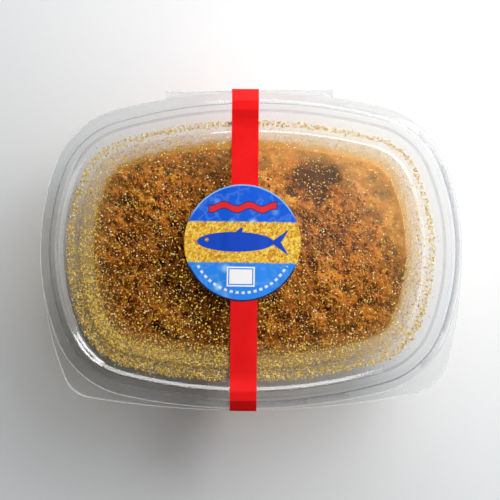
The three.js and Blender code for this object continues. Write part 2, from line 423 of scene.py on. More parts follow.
def face_upwards(piece: bpy.types.Object) -> None:
    """Turns an open sheet so that its faces point up on the whole.

    Args:
        piece: the sheet.
    """
    select_only(piece)
    bpy.ops.object.mode_set(mode="EDIT")
    merge_doubles(1e-7)
    bpy.ops.mesh.normals_make_consistent(inside=False)
    bpy.ops.object.mode_set(mode="OBJECT")
    if sum(p.normal.z * p.area for p in piece.data.polygons) < 0:
        piece.data.flip_normals()


class RingLoft:
    """A sheet drawn ring by ring: a circle of edges, extruded inwards and set on each station."""

    TURN = "turn"

    def __init__(self, name: str, angles: Sequence[float]) -> None:
        """Adds the first ring.

        Args:
            name: the piece's name.
            angles: normal angle of each vertex of a ring.
        """
        self.angles = angles
        deselect_all()
        bpy.ops.mesh.primitive_circle_add(vertices=len(angles), radius=50 * MM)
        self.piece = bpy.context.object
        self.piece.name = self.piece.data.name = name
        bpy.ops.object.mode_set(mode="EDIT")
        bpy.ops.mesh.select_all(action="SELECT")
        mesh = bmesh.from_edit_mesh(self.piece.data)
        turn = mesh.verts.layers.int.new(self.TURN)
        for number, vertex in enumerate(mesh.verts):
            vertex[turn] = number

    def place(self, spot: Callable[[float], Vector]) -> None:
        """Sets the selected ring on a station.

        Args:
            spot: gives the station's point for each angle.
        """
        mesh = bmesh.from_edit_mesh(self.piece.data)
        turn = mesh.verts.layers.int[self.TURN]
        for vertex in mesh.verts:
            if vertex.select:
                vertex.co = spot(self.angles[vertex[turn]])
        bmesh.update_edit_mesh(self.piece.data)

    def extrude(self, spot: Callable[[float], Vector]) -> None:
        """Extrudes the selected ring and sets the new one on its station."""
        bpy.ops.mesh.extrude_region_move()
        self.place(spot)

    def run(self, stations: Sequence[Callable[[float], Vector]]) -> None:
        """Sets the first ring and extrudes it through the other stations."""
        self.place(stations[0])
        for station in stations[1:]:
            self.extrude(station)

    def close(self) -> None:
        """Draws the last ring together to a point."""
        bpy.ops.mesh.merge(type="CENTER")

    def extrude_edge(self, chosen: Callable[[Vector], bool],
                     moves: Sequence[Callable[[Vector], Vector]]) -> None:
        """Extrudes a stretch of the open edge.

        Args:
            chosen: tells whether a vertex of the open edge belongs to the stretch.
            moves: for each extrusion, the new place of a vertex from its first place.
        """
        mesh = bmesh.from_edit_mesh(self.piece.data)
        bpy.ops.mesh.select_all(action="DESELECT")
        bpy.ops.mesh.select_mode(type="EDGE")
        for edge in mesh.edges:
            edge.select_set(edge.is_boundary and all(chosen(v.co) for v in edge.verts))
        turn = mesh.verts.layers.int[self.TURN]
        first = {v[turn]: v.co.copy() for v in mesh.verts if v.select}
        bmesh.update_edit_mesh(self.piece.data)
        for move in moves:
            bpy.ops.mesh.extrude_region_move()
            mesh = bmesh.from_edit_mesh(self.piece.data)
            turn = mesh.verts.layers.int[self.TURN]
            for vertex in mesh.verts:
                if vertex.select:
                    vertex.co = move(first[vertex[turn]])
            bmesh.update_edit_mesh(self.piece.data)

    def finish(self) -> bpy.types.Object:
        """Leaves edit mode and returns the sheet with its faces up."""
        deselect_all()
        self.piece.data.attributes.remove(self.piece.data.attributes[self.TURN])
        face_upwards(self.piece)
        return self.piece


# Materials


class Signal:
    """A number that runs through a material's nodes, so that sums on it read as sums."""

    def __init__(self, finish: Finish, socket: Socket) -> None:
        """Wraps an output socket of a finish's node tree."""
        self.finish = finish
        self.socket = socket

    def maths(self, operation: str, *others: Signal | float) -> Signal:
        """Adds a Math node.

        Args:
            operation: the node's operation.
            others: its second and third input.

        Returns:
            The node's output.
        """
        node = self.finish.node("ShaderNodeMath", {"operation": operation}, [self, *others])
        return Signal(self.finish, node.outputs[0])

    def __add__(self, other: Signal | float) -> Signal:
        """Sum."""
        return self.maths("ADD", other)

    __radd__ = __add__

    def __mul__(self, other: Signal | float) -> Signal:
        """Product."""
        return self.maths("MULTIPLY", other)

    __rmul__ = __mul__

    def __sub__(self, other: Signal | float) -> Signal:
        """Difference."""
        return self.maths("SUBTRACT", other)

    def __rsub__(self, other: float) -> Signal:
        """Difference from a number."""
        return (self * -1.0).maths("ADD", other)

    def __truediv__(self, other: Signal | float) -> Signal:
        """Quotient."""
        return self.maths("DIVIDE", other)

    def __pow__(self, other: Signal | float) -> Signal:
        """Power."""
        return self.maths("POWER", other)

    def __abs__(self) -> Signal:
        """Size without sign."""
        return self.maths("ABSOLUTE")

    def least(self, other: Signal | float) -> Signal:
        """The smaller of two."""
        return self.maths("MINIMUM", other)

    def most(self, other: Signal | float) -> Signal:
        """The larger of two."""
        return self.maths("MAXIMUM", other)

    def sine(self) -> Signal:
        """Sine of an angle in radians."""
        return self.maths("SINE")

    def ramp(self, low: float, high: float) -> Signal:
        """A smooth step.

        Args:
            low: the value at which the step is 0.
            high: the value at which it is 1, which may be the smaller one.

        Returns:
            A number from 0 to 1.
        """
        settings = {"interpolation_type": "SMOOTHSTEP"}
        node = self.finish.node("ShaderNodeMapRange", settings, [self, low, high, 0.0, 1.0])
        return Signal(self.finish, node.outputs[0])


class Finish:
    """A material or sky under construction."""

    def __init__(self, name: str, sky: bool = False) -> None:
        """Starts an empty material or sky.

        Args:
            name: its name.
            sky: whether it is a sky.
        """
        self.material = (bpy.data.worlds if sky else bpy.data.materials).new(name)
        self.material.use_nodes = True
        self.tree = self.material.node_tree
        self.tree.nodes.clear()

    def node(self, kind: str, settings: dict[str, object] | None = None,
             inputs: Sequence[object] | dict[str, object] | None = None) -> bpy.types.Node:
        """Adds a node.

        Args:
            kind: the node's type.
            settings: its properties, set before the inputs.
            inputs: values or links, in the order of its sockets or by their names.

        Returns:
            The node.
        """
        node = self.tree.nodes.new(kind)
        for name, value in (settings or {}).items():
            if name == "stops":
                self.set_stops(node, value)
            else:
                setattr(node, name, value)
        pairs = inputs.items() if isinstance(inputs, dict) else enumerate(inputs or [])
        for key, value in pairs:
            self.feed(node.inputs[key], value)
        return node

    def feed(self, socket: Socket, value: object) -> None:
        """Links a signal or socket to an input, or sets the input's own value.

        Args:
            socket: the input.
            value: what it gets.
        """
        if isinstance(value, Signal):
            value = value.socket
        if isinstance(value, Socket):
            self.tree.links.new(value, socket)
        elif isinstance(value, tuple) and len(value) == 3 and socket.type == "RGBA":
            socket.default_value = (*value, 1.0)
        else:
            socket.default_value = value

    @staticmethod
    def set_stops(node: bpy.types.Node, stops: Sequence[tuple[float, Colour]]) -> None:
        """Gives a colour ramp its stops.

        Args:
            node: the colour ramp.
            stops: place and colour of each stop, in order.
        """
        elements = node.color_ramp.elements
        while len(elements) < len(stops):
            elements.new(1.0)
        for element, (place, colour) in zip(elements, stops):
            element.position = place
            element.color = (*colour, 1.0)

    def places(self) -> Socket:
        """Object coordinates, in metres."""
        return self.node("ShaderNodeTexCoord").outputs["Object"]

    def stored(self, name: str) -> Signal:
        """A number painted on the mesh."""
        node = self.node("ShaderNodeAttribute", {"attribute_name": name})
        return Signal(self, node.outputs["Fac"])

    def noise(self, period: float, detail: float = 3.0, roughness: float = 0.55,
              places: Socket | None = None) -> Signal:
        """Smooth noise from 0 to 1.

        Args:
            period: size of its patches in millimetres.
            detail: octaves of finer noise.
            roughness: weight of the finer noise.
            places: coordinates, in metres, if not the object's own.

        Returns:
            The noise.
        """
        inputs = {"Vector": places or self.places(), "Scale": 1 / (period * MM), "Detail": detail,
                  "Roughness": roughness}
        return Signal(self, self.node("ShaderNodeTexNoise", None, inputs).outputs["Fac"])

    def cells(self, period: float, places: Socket | None = None) -> bpy.types.Node:
        """Cell noise.

        Args:
            period: size of the cells in millimetres.
            places: coordinates, in metres, if not the object's own.

        Returns:
            A node that gives the distance to a cell's middle and a random colour for each cell.
        """
        inputs = {"Vector": places or self.places(), "Scale": 1 / (period * MM)}
        return self.node("ShaderNodeTexVoronoi", {"feature": "F1"}, inputs)

    def graded(self, value: Signal, stops: Sequence[tuple[float, Colour]]) -> Socket:
        """A colour read from stops by a number."""
        return self.node("ShaderNodeValToRGB", {"stops": stops}, [value]).outputs[0]

    def blend(self, share: Signal | float, first: object, second: object) -> Socket:
        """A colour between two.

        Args:
            share: 0 for the first, 1 for the second.
            first: a colour or a link to one.
            second: a colour or a link to one.

        Returns:
            The blended colour.
        """
        node = self.node("ShaderNodeMix", {"data_type": "RGBA"})
        self.feed(node.inputs[0], share)
        self.feed(node.inputs[6], first)
        self.feed(node.inputs[7], second)
        return node.outputs[2]

    def bump(self, height: Signal, depth: float) -> Socket:
        """A normal that follows a height of 0 to 1 over a depth in millimetres."""
        inputs = {"Height": height, "Distance": depth * MM, "Strength": 1.0}
        return self.node("ShaderNodeBump", None, inputs).outputs[0]

    def principled(self, **inputs: object) -> Socket:
        """A Principled shader, with spaces in its inputs' names written as underscores."""
        named = {key.replace("_", " "): value for key, value in inputs.items()}
        return self.node("ShaderNodeBsdfPrincipled", None, named).outputs[0]

    def transparent(self, colour: Colour) -> Socket:
        """A shader that is seen through and tints what lies behind it."""
        return self.node("ShaderNodeBsdfTransparent", None, {"Color": colour}).outputs[0]

    def mix(self, share: Signal | float, first: object, second: object) -> Socket:
        """A shader between two: first at share 0, second at share 1."""
        return self.node("ShaderNodeMixShader", None, [share, first, second]).outputs[0]

    def done(self, shader: Socket) -> bpy.types.Material:
        """Links the shader to the output and returns the material."""
        self.node("ShaderNodeOutputMaterial", None, {"Surface": shader})
        return self.material


@dataclass(frozen=True)
class ClearPlastic:
    """Clear thermoformed sheet with roe dust on it.

    The mesh says where the cut edges are whitened ("frost"), partly by real frosting of the cut and
    partly as a painted highlight of the light the edge catches; where tight folds get a painted grey
    line of shade ("fold"); how thick the fine haze is ("haze"), where roe is smeared on the wall
    ("smear") and how many small grains cling there ("dust").
    """

    name: str
    tint: Colour = (0.985, 0.99, 0.992)
    edge_tint: Colour = (0.78, 0.79, 0.82)
    # white of the cut edges: real frosting of the cut with a painted highlight on it
    white: Colour = (0.88, 0.9, 0.92)
    # painted shade along the tight folds
    grey: Colour = (0.34, 0.34, 0.37)
    haze: Colour = (0.94, 0.68, 0.3)
    veil: Colour = (0.96, 0.74, 0.36)
    glow: Colour = (0.98, 0.56, 0.06)
    brown: Colour = (0.36, 0.15, 0.02)
    amber: Colour = (0.62, 0.27, 0.03)
    gold: Colour = (0.9, 0.6, 0.05)
    straw: Colour = (0.94, 0.8, 0.3)
    gloss: float = 0.05
    grains: Point = (0.72, 0.46)

    def make(self) -> bpy.types.Material:
        """Builds the material, from the bare sheet to the grains on top of it."""
        finish = Finish(self.name)
        sheet = self.painted_edge_lines(finish, self.clear_sheet(finish))
        sheet = self.fogged(finish, sheet)
        sheet = self.smeared(finish, sheet)
        return finish.done(self.dusted(finish, sheet))

    def clear_sheet(self, finish: Finish) -> Socket:
        """The bare sheet: seen through, darker and more mirror-like where it stands steep.

        Args:
            finish: the material.

        Returns:
            The sheet's shader.
        """
        weight = finish.node("ShaderNodeLayerWeight", None, {"Blend": 0.5})
        facing = Signal(finish, weight.outputs["Facing"])
        straight, steep = finish.transparent(self.tint), finish.transparent(self.edge_tint)
        through = finish.mix(facing.ramp(0.45, 0.95), straight, steep)
        normal = finish.bump(finish.noise(16.0, 1.0), 0.015)
        gloss = finish.node("ShaderNodeBsdfGlossy", None, {
            "Color": (1.0, 1.0, 1.0), "Roughness": self.gloss, "Normal": normal}).outputs[0]
        return finish.mix(facing**5.0 * 0.4 + 0.04, through, gloss)

    def painted_edge_lines(self, finish: Finish, sheet: Socket) -> Socket:
        """Whitens the cut edges, partly as a painted highlight, and paints grey shade along the tight
        folds.

        Args:
            finish: the material.
            sheet: the sheet's shader so far.

        Returns:
            The new shader.
        """
        # cut edges: partly real frosting, partly a painted highlight of the light the edge catches
        frosted_and_highlit = finish.principled(Base_Color=self.white, Roughness=0.6, Specular_IOR_Level=0.3)
        sheet = finish.mix(finish.stored("frost_and_edge_highlight"), sheet, frosted_and_highlit)
        # painted grey shade along the tight folds
        painted_fold_shade = finish.principled(Base_Color=self.grey, Roughness=0.5, Specular_IOR_Level=0.3)
        return finish.mix(finish.stored("fold"), sheet, painted_fold_shade)

    def fogged(self, finish: Finish, sheet: Socket) -> Socket:
        """Lays the fine haze of roe over the sheet, which some light comes through.

        Args:
            finish: the material.
            sheet: the sheet's shader so far.

        Returns:
            The new shader.
        """
        fog = finish.principled(Base_Color=self.haze, Roughness=0.9, Specular_IOR_Level=0.1)
        fog = finish.mix(0.6, fog, finish.transparent(self.veil))
        thick = finish.stored("haze") * (0.55 + finish.noise(3.4, 4.0, 0.6) * 0.9)
        return finish.mix(thick.least(0.95), sheet, fog)

    def smeared(self, finish: Finish, sheet: Socket) -> Socket:
        """Lays ragged smears of roe over the sheet, paler where the haze is thick.

        Args:
            finish: the material.
            sheet: the sheet's shader so far.

        Returns:
            The new shader.
        """
        uneven = finish.noise(8.0, 1.0) * 0.9 + finish.noise(2.2, 3.0, 0.65) * 0.8
        ragged = finish.stored("smear") + uneven - 0.85
        tone = finish.noise(1.6, 3.0, 0.6).ramp(0.35, 0.65)
        crust = finish.blend(tone, self.brown, self.amber)
        crust = finish.blend(finish.stored("haze").ramp(0.3, 1.5), crust, self.haze)
        caked = finish.principled(Base_Color=crust, Roughness=0.8, Specular_IOR_Level=0.2)
        caked = finish.mix(0.55, caked, finish.transparent(self.glow))
        share = ragged.ramp(0.15, 0.95) * finish.stored("smear").ramp(0.0, 0.15)
        return finish.mix(share, sheet, caked)

    def dusted(self, finish: Finish, sheet: Socket) -> Socket:
        """Sets grains of two sizes on the sheet.

        Args:
            finish: the material.
            sheet: the sheet's shader so far.

        Returns:
            The new shader.
        """
        dust = finish.stored("dust")
        coarse, coarse_tone = self.specks(finish, self.grains[0], dust)
        fine, fine_tone = self.specks(finish, self.grains[1], dust * 0.8)
        tone = coarse_tone * coarse + fine_tone * (1 - coarse)
        stops = [(0.0, self.brown), (0.25, self.gold), (0.7, self.gold), (1.0, self.straw)]
        colour = finish.graded(tone, stops)
        grain = finish.principled(Base_Color=colour, Roughness=0.55, Specular_IOR_Level=0.3)
        return finish.mix(coarse.most(fine), sheet, grain)

    @staticmethod
    def specks(finish: Finish, period: float, density: Signal) -> tuple[Signal, Signal]:
        """Small round grains, each there or not by chance.

        Args:
            finish: the material.
            period: size of the cells that the grains sit in, in millimetres.
            density: share of the cells that hold a grain.

        Returns:
            Where the grains are, and a random number for each.
        """
        cell = finish.cells(period)
        chance = finish.node("ShaderNodeSeparateColor", None, [cell.outputs["Color"]])
        there = (density - Signal(finish, chance.outputs[0])).ramp(0.0, 0.03)
        near = Signal(finish, cell.outputs["Distance"]).ramp(0.52, 0.4)
        return near * there, Signal(finish, chance.outputs[1])


@dataclass(frozen=True)
class RoeHeapFinish:
    """Grated roe: brown body, amber clumps, golden tops and painted shade in the hollows and dips."""

    name: str = "grated_roe"
    # painted shade of the hollows and dips
    hollow_shade: Colour = (0.095, 0.024, 0.002)
    brown: Colour = (0.25, 0.065, 0.008)
    amber: Colour = (0.62, 0.2, 0.018)
    gold: Colour = (0.9, 0.42, 0.05)
    powder: Colour = (0.94, 0.52, 0.17)

    def make(self) -> bpy.types.Material:
        """Builds the material."""
        finish = Finish(self.name)
        patches = finish.noise(15.0, 2.0, 0.5)
        clumps = finish.noise(3.2, 3.0, 0.65)
        grit = finish.noise(0.9, 3.0, 0.65)
        mixed = patches * 0.55 + clumps * 0.5 + grit * 0.35
        colour = finish.graded(mixed, [(0.55, self.brown), (0.7, self.amber), (0.9, self.gold)])
        # painted shade: the colour darkens where the relief dips and in the hollows
        colour = finish.blend(finish.stored("depth").ramp(0.35, 1.0), colour, self.hollow_shade)
        dusted = finish.stored("powder") * (0.2 + finish.noise(4.5, 4.0, 0.65) * 1.5)
        colour = finish.blend(dusted.least(0.9), colour, self.powder)
        normal = finish.bump(grit, 0.3)
        return finish.done(finish.principled(
            Base_Color=colour, Roughness=0.7, Specular_IOR_Level=0.2, Normal=normal))


@dataclass(frozen=True)
class GrainFinish:
    """Loose grains of one kind, each a little lighter or darker than its neighbours."""

    name: str
    dark: Colour
    light: Colour
    roughness: float = 0.42

    def make(self) -> bpy.types.Material:
        """Builds the material."""
        finish = Finish(self.name)
        grit = finish.noise(0.4, 1.0)
        colour = finish.blend(finish.stored("tint") * 0.8 + grit * 0.4 - 0.1, self.dark, self.light)
        return finish.done(finish.principled(
            Base_Color=colour, Roughness=self.roughness + grit * 0.3, Specular_IOR_Level=0.4,
            Normal=finish.bump(grit, 0.05)))


@dataclass(frozen=True)
class TapeFinish:
    """Smooth red seal tape with a faint fibre in its surface, thin enough to let some light through."""

    name: str = "red_tape"
    red: Colour = (1.0, 0.008, 0.009)
    deep: Colour = (0.92, 0.006, 0.007)
    glow: float = 0.3

    def make(self) -> bpy.types.Material:
        """Builds the material."""
        finish = Finish(self.name)
        fibre = finish.noise(0.9, 4.0, 0.65)
        colour = finish.blend(finish.noise(9.0).ramp(0.35, 0.7), self.red, self.deep)
        return finish.done(finish.principled(
            Base_Color=colour, Roughness=0.34 + fibre * 0.18, Specular_IOR_Level=0.18,
            Subsurface_Weight=self.glow, Subsurface_Radius=(1.0, 0.1, 0.08), Subsurface_Scale=0.003,
            Normal=finish.bump(fibre, 0.02)))


@dataclass
class Page:
    """The label's face while it is printed.

    Attributes:
        finish: the material.
        across: millimetres to the right of the label's middle.
        up: millimetres above it.
        colour: the print so far.
    """

    finish: Finish
    across: Signal
    up: Signal
    colour: object

    def lay(self, share: Signal, colour: object) -> None:
        """Prints a colour where the share is 1."""
        self.colour = self.finish.blend(share, self.colour, colour)

    def radius(self) -> Signal:
        """Millimetres from the label's middle."""
        return (self.across**2.0 + self.up**2.0) ** 0.5


@dataclass(frozen=True)
class LabelFinish:
    """Print of the round label: blue water above and below a speckled gold band.

    Attributes:
        plan: the pack's plan, for the label's place and turn.
        band: lower and upper edge of the gold band, in millimetres from the label's middle.
        panel: middle and half size of the white panel.
    """

    plan: PackPlan
    name: str = "printed_label"
    royal: Colour = (0.004, 0.1, 0.66)
    sky: Colour = (0.022, 0.235, 0.8)
    foam: Colour = (0.34, 0.62, 0.92)
    gold: Colour = (0.76, 0.43, 0.025)
    straw: Colour = (0.92, 0.67, 0.11)
    rust: Colour = (0.46, 0.15, 0.01)
    navy: Colour = (0.006, 0.06, 0.5)
    ink: Colour = (0.01, 0.014, 0.08)
    red: Colour = (0.72, 0.02, 0.03)
    white: Colour = (0.9, 0.9, 0.9)
    band: Point = (-6.8, 7.2)
    panel: tuple[float, float, float, float] = (-0.4, -11.6, 4.8, 3.4)

    def make(self) -> bpy.types.Material:
        """Builds the material."""
        finish = Finish(self.name)
        x, y = self.plan.label_centre
        centre = self.plan.metres(x, y, 0)
        turned = finish.node("ShaderNodeMapping", {"vector_type": "TEXTURE"}, {
            "Vector": finish.places(), "Location": tuple(centre),
            "Rotation": (0.0, 0.0, self.plan.label_turn)}).outputs[0]
        parts = finish.node("ShaderNodeSeparateXYZ", None, [turned])
        across = Signal(finish, parts.outputs[0]) * (1 / MM)
        up = Signal(finish, parts.outputs[1]) * (1 / MM)
        page = Page(finish, across, up, self.water(finish, up, turned))
        for print_field in (self.gold_band, self.wave, self.fish, self.white_panel,
                            self.dashed_arc, self.lit_and_shaded_rim):
            print_field(page)
        return finish.done(finish.principled(
            Base_Color=page.colour, Roughness=0.4 + finish.noise(2.0) * 0.12, Specular_IOR_Level=0.25))

    def water(self, finish: Finish, up: Signal, places: Socket) -> Socket:
        """Blue water with bright ripples, deeper above the band.

        Args:
            finish: the material.
            up: millimetres above the label's middle.
            places: coordinates that turn with the label, in metres.

        Returns:
            Its colour.
        """
        veil = abs(finish.noise(7.0, 2.0, 0.6, places) - 0.5).ramp(0.05, 0.0)
        glint = Signal(finish, finish.cells(6.5, places).outputs["Distance"]).ramp(0.42, 0.02) ** 2.0
        base = finish.blend(up.ramp(2.0, 6.0), self.sky, self.royal)
        return finish.blend((veil * 0.12 + glint).least(0.85), base, self.foam)

    def gold_band(self, page: Page) -> None:
        """Prints a gold band of loose specks with rust smudges.

        Args:
            page: the label's face.
        """
        low, high = self.band
        finish = page.finish
        edge = page.up + (finish.noise(1.2, 2.0) * 0.9 - 0.45)
        inside = edge.ramp(low - 0.25, low + 0.25) * edge.ramp(high + 0.25, high - 0.25)
        specks = Signal(finish, finish.cells(0.7).outputs["Color"])
        grain = finish.blend(specks.ramp(0.3, 0.75), self.gold, self.straw)
        rust = finish.noise(1.1, 3.0, 0.75).ramp(0.48, 0.58) * 0.8
        page.lay(inside, finish.blend(rust, grain, self.rust))

    def wave(self, page: Page) -> None:
        """Prints a plain red wave with a dark outline in the upper field.

        Args:
            page: the label's face.
        """
        line = abs(page.up - 12.2 - (page.across * 0.72).sine() * 0.75)
        page.lay(line.ramp(1.45, 1.25) * abs(page.across).ramp(11.9, 11.7), self.ink)
        page.lay(line.ramp(1.15, 0.95) * abs(page.across).ramp(11.6, 11.4), self.red)

    def fish(self, page: Page) -> None:
        """Prints a plain fish on the gold band: an oval body, a back fin and a forked tail.

        Args:
            page: the label's face.
        """
        across, up = page.across, page.up
        body = (((across + 2.4) / 13.2) ** 2.0 + ((up - 0.3) / 3.4) ** 2.0).ramp(1.05, 0.95)
        behind = across - 9.6
        fork = abs(up - 0.3) - behind * 0.72
        notch = behind - 6.0 + (4.0 - abs(up - 0.3)) * 0.6
        tail = fork.ramp(0.12, -0.12) * behind.ramp(0.0, 0.3) * notch.ramp(0.15, -0.15)
        back = abs(across + 1.5 - (up - 3.4) * 0.7) * 1.6 + (up - 3.0) - 2.6
        fin = back.ramp(0.15, -0.15) * up.ramp(2.6, 2.9)
        around_eye = ((across + 12.2) ** 2.0 + (up - 0.9) ** 2.0).ramp(0.3, 0.5)
        page.lay(body.most(tail).most(fin) * around_eye, self.navy)

    def white_panel(self, page: Page) -> None:
        """Prints a plain white panel with a thin blue frame inside its edge.

        Args:
            page: the label's face.
        """
        x, y, half_width, half_height = self.panel
        edge = (abs(page.across - x) - half_width).most(abs(page.up - y) - half_height)
        page.lay(edge.ramp(0.08, -0.08), self.white)
        page.lay(edge.ramp(-0.45, -0.55) * edge.ramp(-0.95, -0.85), self.sky)

    def dashed_arc(self, page: Page) -> None:
        """Prints a row of short white dashes inside the lower rim.

        Args:
            page: the label's face.
        """
        dashes = (page.up.maths("ARCTAN2", page.across) * 52.0).sine().ramp(-0.2, 0.1)
        ring = abs(page.radius() - 17.1).ramp(0.55, 0.35)
        page.lay(ring * dashes * page.up.ramp(-7.6, -8.0) * 0.8, self.white)

    def lit_and_shaded_rim(self, page: Page) -> None:
        """Paints a thin rim: a painted highlight along its top and painted shade along its bottom.

        Args:
            page: the label's face.
        """
        rim = page.radius().ramp(19.4, 19.7)
        # painted highlight along the top of the rim
        page.lay(rim * page.up.ramp(7.0, 12.0) * 0.7, self.foam)
        # painted shade along the bottom of the rim
        page.lay(rim * page.up.ramp(-6.0, -10.0), self.ink)


@dataclass(frozen=True)
class FloorFinish:
    """A plain pale table top."""

    name: str = "pale_floor"
    light: Colour = (0.8, 0.81, 0.82)
    shade: Colour = (0.7, 0.71, 0.72)

    def make(self) -> bpy.types.Material:
        """Builds the material."""
        finish = Finish(self.name)
        colour = finish.blend(finish.noise(60.0) * 0.06, self.light, self.shade)
        return finish.done(finish.principled(Base_Color=colour, Roughness=0.7))


# Clear shells


class Shell(Enum):
    """The two clear sheets, by the node that each stands for."""

    TUB = "tub"
    LID = "lid"


@dataclass
class ClearShell:
    """One clear sheet of the pack: rings round the seal, a hinge leaf and an even thickness.

    The tables say how thick the roe lies: over the heap's brim on the wall, and by the distance
    inside the seal ring on the lid.
    """

    plan: PackPlan
    kind: Shell
    panel_rings: int = 12
    panel_wave: float = 0.025
    wall_levels: tuple[float, ...] = (12, 9.5, 7, 5, 3.5, 2, 1, 0, -1, -2.5)
    wall_dust: Table = ((0, 0.9), (8, 0.8), (14, 0.7))
    wall_haze: Table = ((0, 1), (2, 0.9), (5, 0.6), (9, 0.3), (15, 0.1))
    lid_dust: Table = ((2.8, 0), (3.2, 1), (4.5, 0.95), (5.1, 0.3), (6.4, 0.3), (7.6, 0.5), (14, 0.12))
    lid_haze: Table = ((4, 0), (7, 0.08), (11, 0.08), (16, 0))
    lid_haze_back: Table = (
        (6, 0), (9, 0.14), (11.5, 0.32), (13.5, 0.28), (17, 0.13), (24, 0.04), (32, 0))
    lid_haze_front: Table = ((3, 0), (4.5, 0.14), (9, 0.34), (12.5, 0.26), (15.5, 0))

    def profile(self) -> list[Point]:
        """Upper line of the sheet as (inset, height), from its rim inwards."""
        return self.tub_profile() if self.kind is Shell.TUB else self.lid_profile()

    def tub_profile(self) -> list[Point]:
        """Rim, seal ridge, ledge, tapered wall, foot ring and raised floor."""
        plan = self.plan
        floor = plan.sheet
        inset, height = plan.wall_top
        levels = [plan.brim + over for over in self.wall_levels]
        wall = [(plan.wall_inset(level), level, 0) for level in levels]
        return rounded([
            (plan.rim_inset, plan.flange - 1.2, 0),
            (plan.rim_inset + 0.3, plan.flange - 1.2, 0),
            (-4.0, plan.flange - 1.03, 0),
            (-3.62, plan.flange - 1.0, 0.4),
            (-3.3, plan.flange, 0.5),
            (-2.9, plan.flange, 0),
            (-0.7, plan.flange, 0.3),
            (-0.5, plan.flange - 5.3, 0.4),
            (inset - 0.2, height + 0.7, 0.8),
            *wall,
            (plan.wall_inset(floor), floor, 4.2),
            (20.7, floor, 0.5),
            (21.5, floor + 0.9, 0.5),
            (22.4, floor + 0.9, 0),
        ])

    def lid_profile(self) -> list[Point]:
        """Rim, band over the seal ridge, trough and the low step up to the flat panel."""
        plan = self.plan
        band = plan.flange + 0.8
        trough = plan.flange - 1.05
        return rounded([
            (plan.rim_inset, plan.flange - 0.55, 0),
            (plan.rim_inset + 0.3, plan.flange - 0.55, 0),
            (-4.9, plan.flange - 0.22, 0),
            (-4.4, plan.flange - 0.15, 0.5),
            (-4.05, band, 0.55),
            (-1.07, band, 3.6),
            (1.21, trough, 4.0),
            (6.0, trough, 0.6),
            (6.75, plan.flange + plan.panel, 1.3),
            (9.0, plan.flange + plan.panel, 0),
        ])

    def wavy(self, point: Vector) -> Vector:
        """Lifts a point of the flat panel by the sheet's slight unevenness.

        Args:
            point: the point, in metres.

        Returns:
            Its new place.
        """
        x, y = point.x / MM, point.y / MM
        lift = math.sin(x / 9.5 + 1.3) * math.cos(y / 8.0 - 0.4) + 0.6 * math.sin((x - y) / 14.0)
        return point + Vector((0, 0, lift * self.panel_wave * MM))

    def build(self) -> bpy.types.Object:
        """Makes the sheet and returns it as a finished piece."""
        plan = self.plan
        edge = plan.tub_edge if self.kind is Shell.TUB else plan.lid_edge
        profile = self.profile()
        loft = RingLoft(f"clear_{self.kind.value}", plan.angles())
        loft.run([lambda a, s=station: plan.spot(a, *s, edge) for station in profile])
        inset, height = profile[-1]
        for ring in range(1, self.panel_rings):
            share = 1 - ring / self.panel_rings
            loft.extrude(lambda a: self.wavy(self.scaled(plan.spot(a, inset, height, edge), share)))
        loft.close()
        self.add_hinge(loft)
        piece = loft.finish()
        add_modifier(piece, "SOLIDIFY", thickness=plan.sheet * MM, offset=-1.0, use_even_offset=True)
        shade_by_angle(piece, 50)
        self.add_roe(piece)
        self.add_painted_edge_lines(piece)
        self.dress(piece)
        return piece

    def scaled(self, point: Vector, share: float) -> Vector:
        """A point drawn in towards the middle of the plan."""
        middle = self.plan.metres(0, 0, point.z / MM)
        return middle + (point - middle) * share

    def add_hinge(self, loft: RingLoft) -> None:
        """Extrudes the hinge leaf, straight at the back; the tub's leaf ends in the fold.

        Args:
            loft: the sheet.
        """
        plan = self.plan
        half = (plan.hinge_half + 0.05) * MM
        fold, lift, lid_short = 0.55, 0.1, 0.08
        turn = plan.hinge_reach - fold

        def at_hinge(place: Vector) -> bool:
            """Whether a vertex of the edge belongs to the hinge."""
            return abs(place.x) < half and place.y > 40 * MM

        def moved(y: float, rise: float) -> Callable[[Vector], Vector]:
            """The move to a line across the pack, so far above the vertex's first place."""
            return lambda first: Vector((first.x, (y + plan.shift) * MM, first.z + rise * MM))

        if self.kind is Shell.LID:
            moves = [moved(turn - lid_short, 0.0)]
        else:
            angles = np.linspace(-math.pi / 2, math.pi / 2, 7)
            moves = [moved(turn + lift * math.cos(a), lift * (1 + math.sin(a))) for a in angles]
        loft.extrude_edge(at_hinge, moves)

    def add_roe(self, piece: bpy.types.Object) -> None:
        """Paints the roe on the sheet's inner side: loose dust, fine haze and smears.

        Args:
            piece: the sheet, whose first half of vertices is its upper face.
        """
        x, y, z = self.plan.drawing(vertex_array(piece))
        inner = np.arange(len(x)) < len(x) // 2
        if self.kind is Shell.TUB:
            layers = self.wall_roe(x, y, z)
        else:
            layers = self.lid_roe(x, y)
            inner = ~inner
        for name, values in layers.items():
            paint(piece, name, values * inner)

    def wall_roe(self, x: np.ndarray, y: np.ndarray, z: np.ndarray) -> dict[str, np.ndarray]:
        """How thick the roe lies on the tub's wall and ledge.

        Args:
            x: x of each place on the drawing.
            y: y of each place.
            z: height of each place.

        Returns:
            Dust, haze and smear of each place.
        """
        plan = self.plan
        inset, over = plan.seal.inset(x, y), z - plan.brim
        near, far = plan.towards(x, y, Bearing.GRAINS), plan.towards(x, y, Bearing.HAZE)
        back = plan.towards(x, y, Bearing.SMEAR) ** 4
        wall = (inset > 4.6) & (over > -2.0)
        ledge = (inset > 2.8) & (inset <= 4.6)
        dust = wall * (0.06 + 0.5 * near) * along(over, self.wall_dust)
        haze = wall * along(over, self.wall_haze) * (0.25 + 0.75 * far)
        smear = np.clip(0.85 + 0.3 * back - over / (3.2 + 5.0 * back), 0, 1)
        smear *= wall * (1 - 0.75 * far * (1 - back))
        return {"dust": np.maximum(dust, 0.5 * near * ledge), "haze": haze, "smear": smear}

